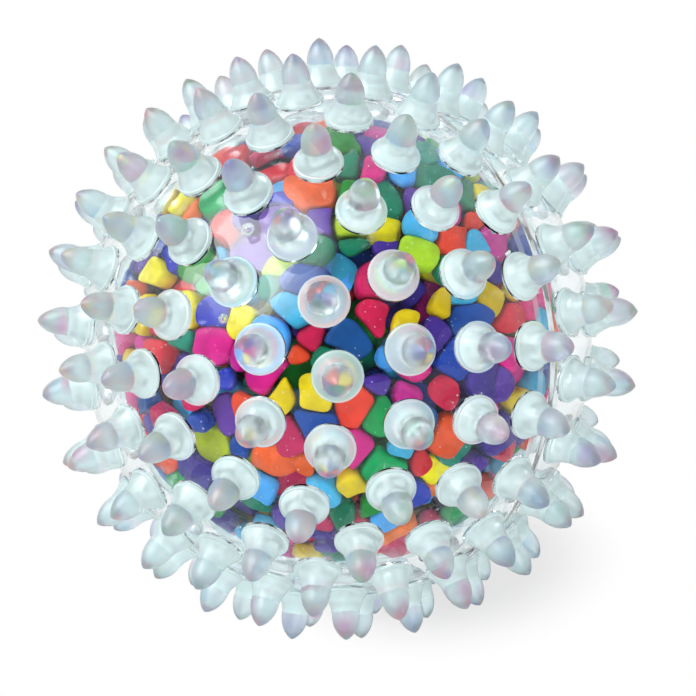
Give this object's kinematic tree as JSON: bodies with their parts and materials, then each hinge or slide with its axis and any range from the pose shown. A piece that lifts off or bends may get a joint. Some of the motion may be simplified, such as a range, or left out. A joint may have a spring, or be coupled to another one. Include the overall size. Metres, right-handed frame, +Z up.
{
  "type": "sensory ball",
  "caption": "Clear soft ball covered in blunt spikes, its cavity filled with loose coloured chips that tumble.",
  "frame": {"origin": "centre of the ball", "axes": "+Z up as the ball stands on three spike tips, -Y towards the side with the front half's pole"},
  "size_m": [0.0993, 0.0998, 0.0993],
  "materials": {
    "clear_shell": "gloss",
    "clear_weld": "gloss",
    "red_chip": "matte",
    "orange_chip": "matte",
    "yellow_chip": "matte",
    "lime_chip": "matte",
    "green_chip": "matte",
    "teal_chip": "matte",
    "sky_blue_chip": "matte",
    "cobalt_chip": "matte",
    "violet_chip": "matte",
    "magenta_chip": "matte"
  },
  "bodies": {
    "shell": {"front_half": "clear_shell", "rear_half": "clear_shell", "seam_weld": "clear_weld"},
    "outer_filling": {"red_chips_outer": "red_chip", "orange_chips_outer": "orange_chip", "yellow_chips_outer": "yellow_chip", "lime_chips_outer": "lime_chip", "green_chips_outer": "green_chip", "teal_chips_outer": "teal_chip", "sky_blue_chips_outer": "sky_blue_chip", "cobalt_chips_outer": "cobalt_chip", "violet_chips_outer": "violet_chip", "magenta_chips_outer": "magenta_chip"},
    "middle_filling": {"red_chips_middle": "red_chip", "orange_chips_middle": "orange_chip", "yellow_chips_middle": "yellow_chip", "lime_chips_middle": "lime_chip", "green_chips_middle": "green_chip", "teal_chips_middle": "teal_chip", "sky_blue_chips_middle": "sky_blue_chip", "cobalt_chips_middle": "cobalt_chip", "violet_chips_middle": "violet_chip", "magenta_chips_middle": "magenta_chip"},
    "inner_filling": {"red_chips_inner": "red_chip", "orange_chips_inner": "orange_chip", "yellow_chips_inner": "yellow_chip", "lime_chips_inner": "lime_chip", "green_chips_inner": "green_chip", "teal_chips_inner": "teal_chip", "sky_blue_chips_inner": "sky_blue_chip", "cobalt_chips_inner": "cobalt_chip", "violet_chips_inner": "violet_chip", "magenta_chips_inner": "magenta_chip"}
  },
  "joints": [
    {"name": "outer_filling_tumble", "type": "hinge", "parent": "shell", "child": "outer_filling", "pos_m": [0, 0, 0], "axis": [0, 0, 1], "continuous": true},
    {"name": "middle_filling_tumble", "type": "hinge", "parent": "shell", "child": "middle_filling", "pos_m": [0, 0, 0], "axis": [1, 0, 0], "continuous": true},
    {"name": "inner_filling_tumble", "type": "hinge", "parent": "shell", "child": "inner_filling", "pos_m": [0, 0, 0], "axis": [0, 1, 0], "continuous": true}
  ]
}
